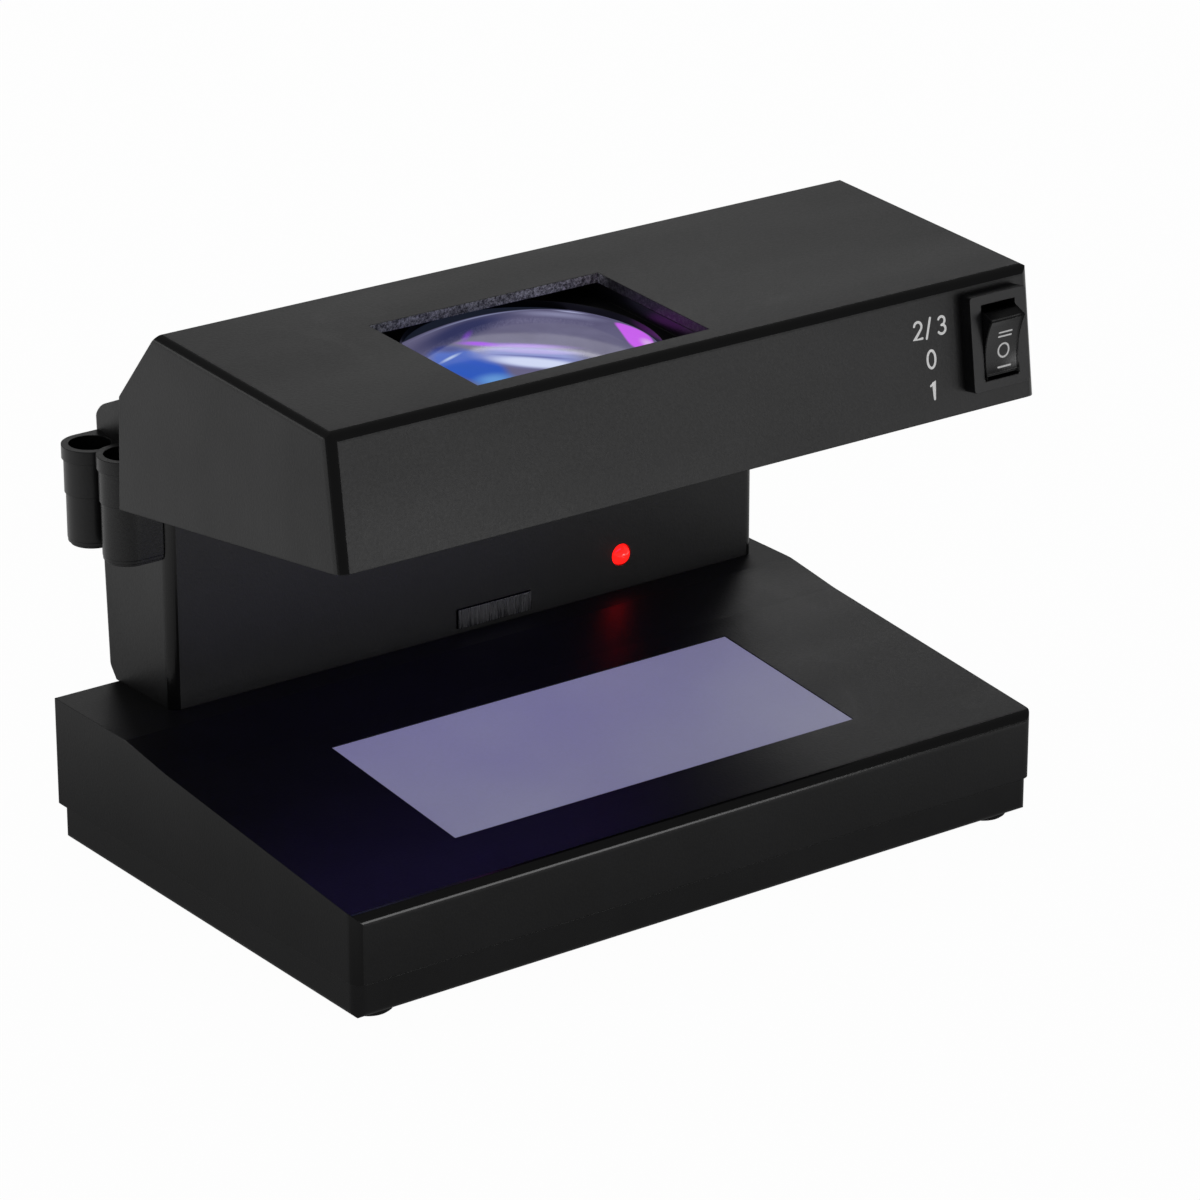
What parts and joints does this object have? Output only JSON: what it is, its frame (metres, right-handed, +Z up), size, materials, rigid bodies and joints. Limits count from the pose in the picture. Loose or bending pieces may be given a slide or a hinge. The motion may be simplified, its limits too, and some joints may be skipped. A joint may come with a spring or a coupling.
{
  "type": "counterfeit bill detector",
  "caption": "Desktop banknote checker: wedge base with lit deck, rear column with pen sockets, hood with ultraviolet tube, magnifier window and three-way rocker switch.",
  "frame": {"origin": "middle of the footprint, on the table under the feet", "axes": "+X to the user's right, -Y towards the user, +Z up"},
  "size_m": [0.18, 0.1231, 0.1295],
  "materials": {
    "black_abs": "fine spark-textured satin black ABS",
    "inner_black_abs": "smooth dark ABS",
    "rubber": "matt black rubber",
    "steel": "zinc-plated",
    "diffuser": "frosted white acrylic",
    "white_tube": "phosphor-coated glass",
    "uv_glass": "phosphor-coated ultraviolet tube, lit violet-blue",
    "cap_aluminium": "rolled aluminium",
    "white_plastic": "white moulded plastic",
    "reflector_aluminium": "bright rolled aluminium",
    "circuit_board": "green solder mask",
    "winding": "enamelled copper winding on a ferrite core",
    "capacitor_sleeve": "printed shrink sleeve without print",
    "epoxy": "moulded epoxy",
    "sensor_metal": "lapped metal pole face",
    "red_indicator": "clear red lens, lit",
    "lens_glass": "polished and lightly coated",
    "switch_plastic": "semi-gloss nylon",
    "rocker_plastic": "gloss nylon",
    "brass": "stamped",
    "lead_insulation": "grey PVC sleeve"
  },
  "bodies": {
    "body": {"base_upper_shell": "black_abs", "base_tray": "black_abs", "rubber_feet": "rubber", "base_screws": "steel", "cord_gland": "rubber", "watermark_window": "diffuser", "watermark_lamp_holders": "white_plastic", "watermark_reflector": "white_plastic", "column_shell": "black_abs", "column_screws": "steel", "column_rear_cover": "black_abs", "rear_cover_screws": "steel", "ballast_board": "circuit_board", "ballast_chokes": "winding", "board_capacitors": "capacitor_sleeve", "board_transistors": "epoxy", "board_screws": "steel", "buzzer": "epoxy", "magnetic_sensor_head": "sensor_metal", "magnetic_indicator": "red_indicator", "pen_sleeves": "black_abs", "pen_cups": "black_abs", "hood_shell": "black_abs", "hood_base_plate": "inner_black_abs", "plate_screws": "steel", "hood_screws": "steel", "lens_frame": "inner_black_abs", "magnifier_lens": "lens_glass", "lens_retainer": "inner_black_abs", "lens_screws": "steel", "uv_lamp_holders": "white_plastic", "uv_reflector": "reflector_aluminium", "switch_housing": "switch_plastic", "switch_contacts": "brass", "hood_leads": "lead_insulation", "base_leads": "lead_insulation"},
    "uv_lamp": {"uv_tube": "uv_glass", "uv_tube_caps": "cap_aluminium"},
    "watermark_lamp": {"watermark_tube": "white_tube", "watermark_tube_caps": "cap_aluminium"},
    "mode_rocker": {"rocker": "rocker_plastic", "rocker_plunger": "steel"}
  },
  "joints": [
    {"name": "mode_rocker_tilt", "type": "hinge", "parent": "body", "child": "mode_rocker", "pos_m": [0.0779, -0.05491, 0.11247], "axis": [-1, 0, 0], "range_deg": [0, 24]},
    {"name": "uv_lamp_twist", "type": "hinge", "parent": "body", "child": "uv_lamp", "pos_m": [-0.007, 0.01019, 0.10218], "axis": [1, 0, 0], "range_deg": [0, 90]},
    {"name": "watermark_lamp_twist", "type": "hinge", "parent": "body", "child": "watermark_lamp", "pos_m": [0, -0.02, 0.0132], "axis": [1, 0, 0], "range_deg": [0, 90]}
  ]
}
